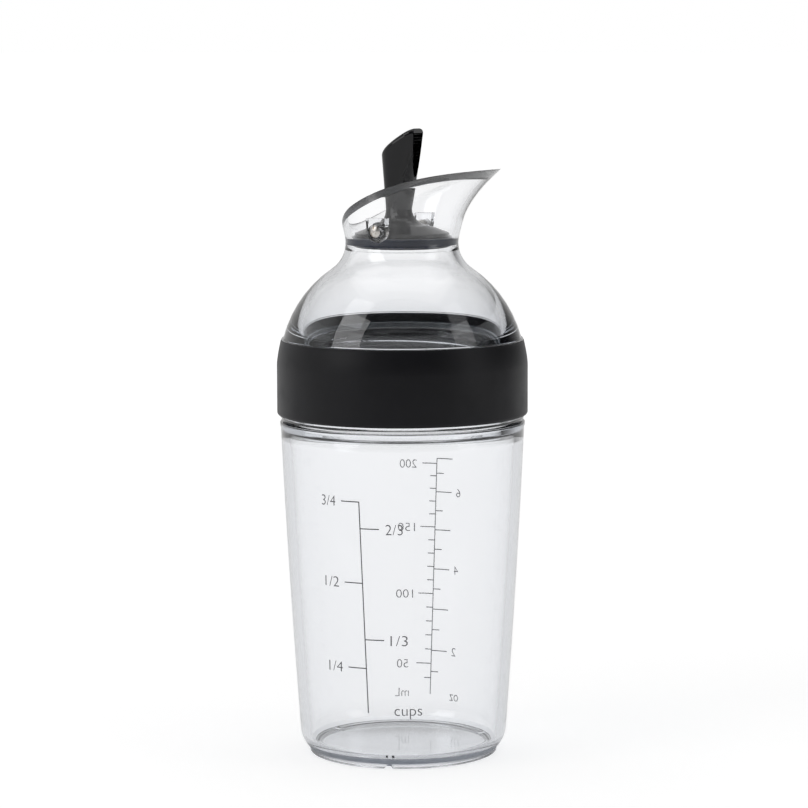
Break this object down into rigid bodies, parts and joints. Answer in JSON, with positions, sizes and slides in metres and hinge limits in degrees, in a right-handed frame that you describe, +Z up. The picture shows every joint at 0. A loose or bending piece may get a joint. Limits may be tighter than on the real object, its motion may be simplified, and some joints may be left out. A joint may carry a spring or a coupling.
{
  "type": "salad dressing shaker bottle",
  "caption": "Clear tapered tumbler with a measuring scale, a domed screw lid with a black grip band, and a pouring spout closed by a black flip lever.",
  "frame": {"origin": "centre of the foot ring, on the surface the bottle stands on", "axes": "+Z up along the bottle's axis; +X the way the spout pours; the hinge pin runs along Y"},
  "size_m": [0.0701, 0.0702, 0.1752],
  "materials": {
    "clear_tumbler": "clear moulded plastic, polished",
    "clear_lid": "clear moulded plastic, polished",
    "band_black": "soft-touch black, satin",
    "gasket_clear": "translucent silicone",
    "pin_steel": "drawn wire with domed ends",
    "lever_black": "glossy black moulding",
    "seal_navy": "dark blue silicone, satin"
  },
  "bodies": {
    "tumbler": {"tumbler": "clear_tumbler"},
    "gasket": {"lid_gasket": "gasket_clear"},
    "lid": {"lid_shell": "clear_lid", "grip_band": "band_black", "hinge_pin": "pin_steel"},
    "stopper": {"pour_lever": "lever_black", "stopper_seal": "seal_navy"}
  },
  "joints": [
    {"name": "lid_lift", "type": "slide", "parent": "tumbler", "child": "gasket", "axis": [0, 0, 1], "range_m": [0, 0.008]},
    {"name": "lid_turn", "type": "hinge", "parent": "gasket", "child": "lid", "pos_m": [0, 0, 0.1134], "axis": [0, 0, 1], "range_deg": [0, 450]},
    {"name": "lever_flip", "type": "hinge", "parent": "lid", "child": "stopper", "pos_m": [0, 0, 0.1474], "axis": [0, -1, 0], "range_deg": [0, 60]}
  ],
  "couplings": [
    {"joint": "lid_lift", "follows": "lid_turn", "m_per_rad": 0.0010186}
  ]
}
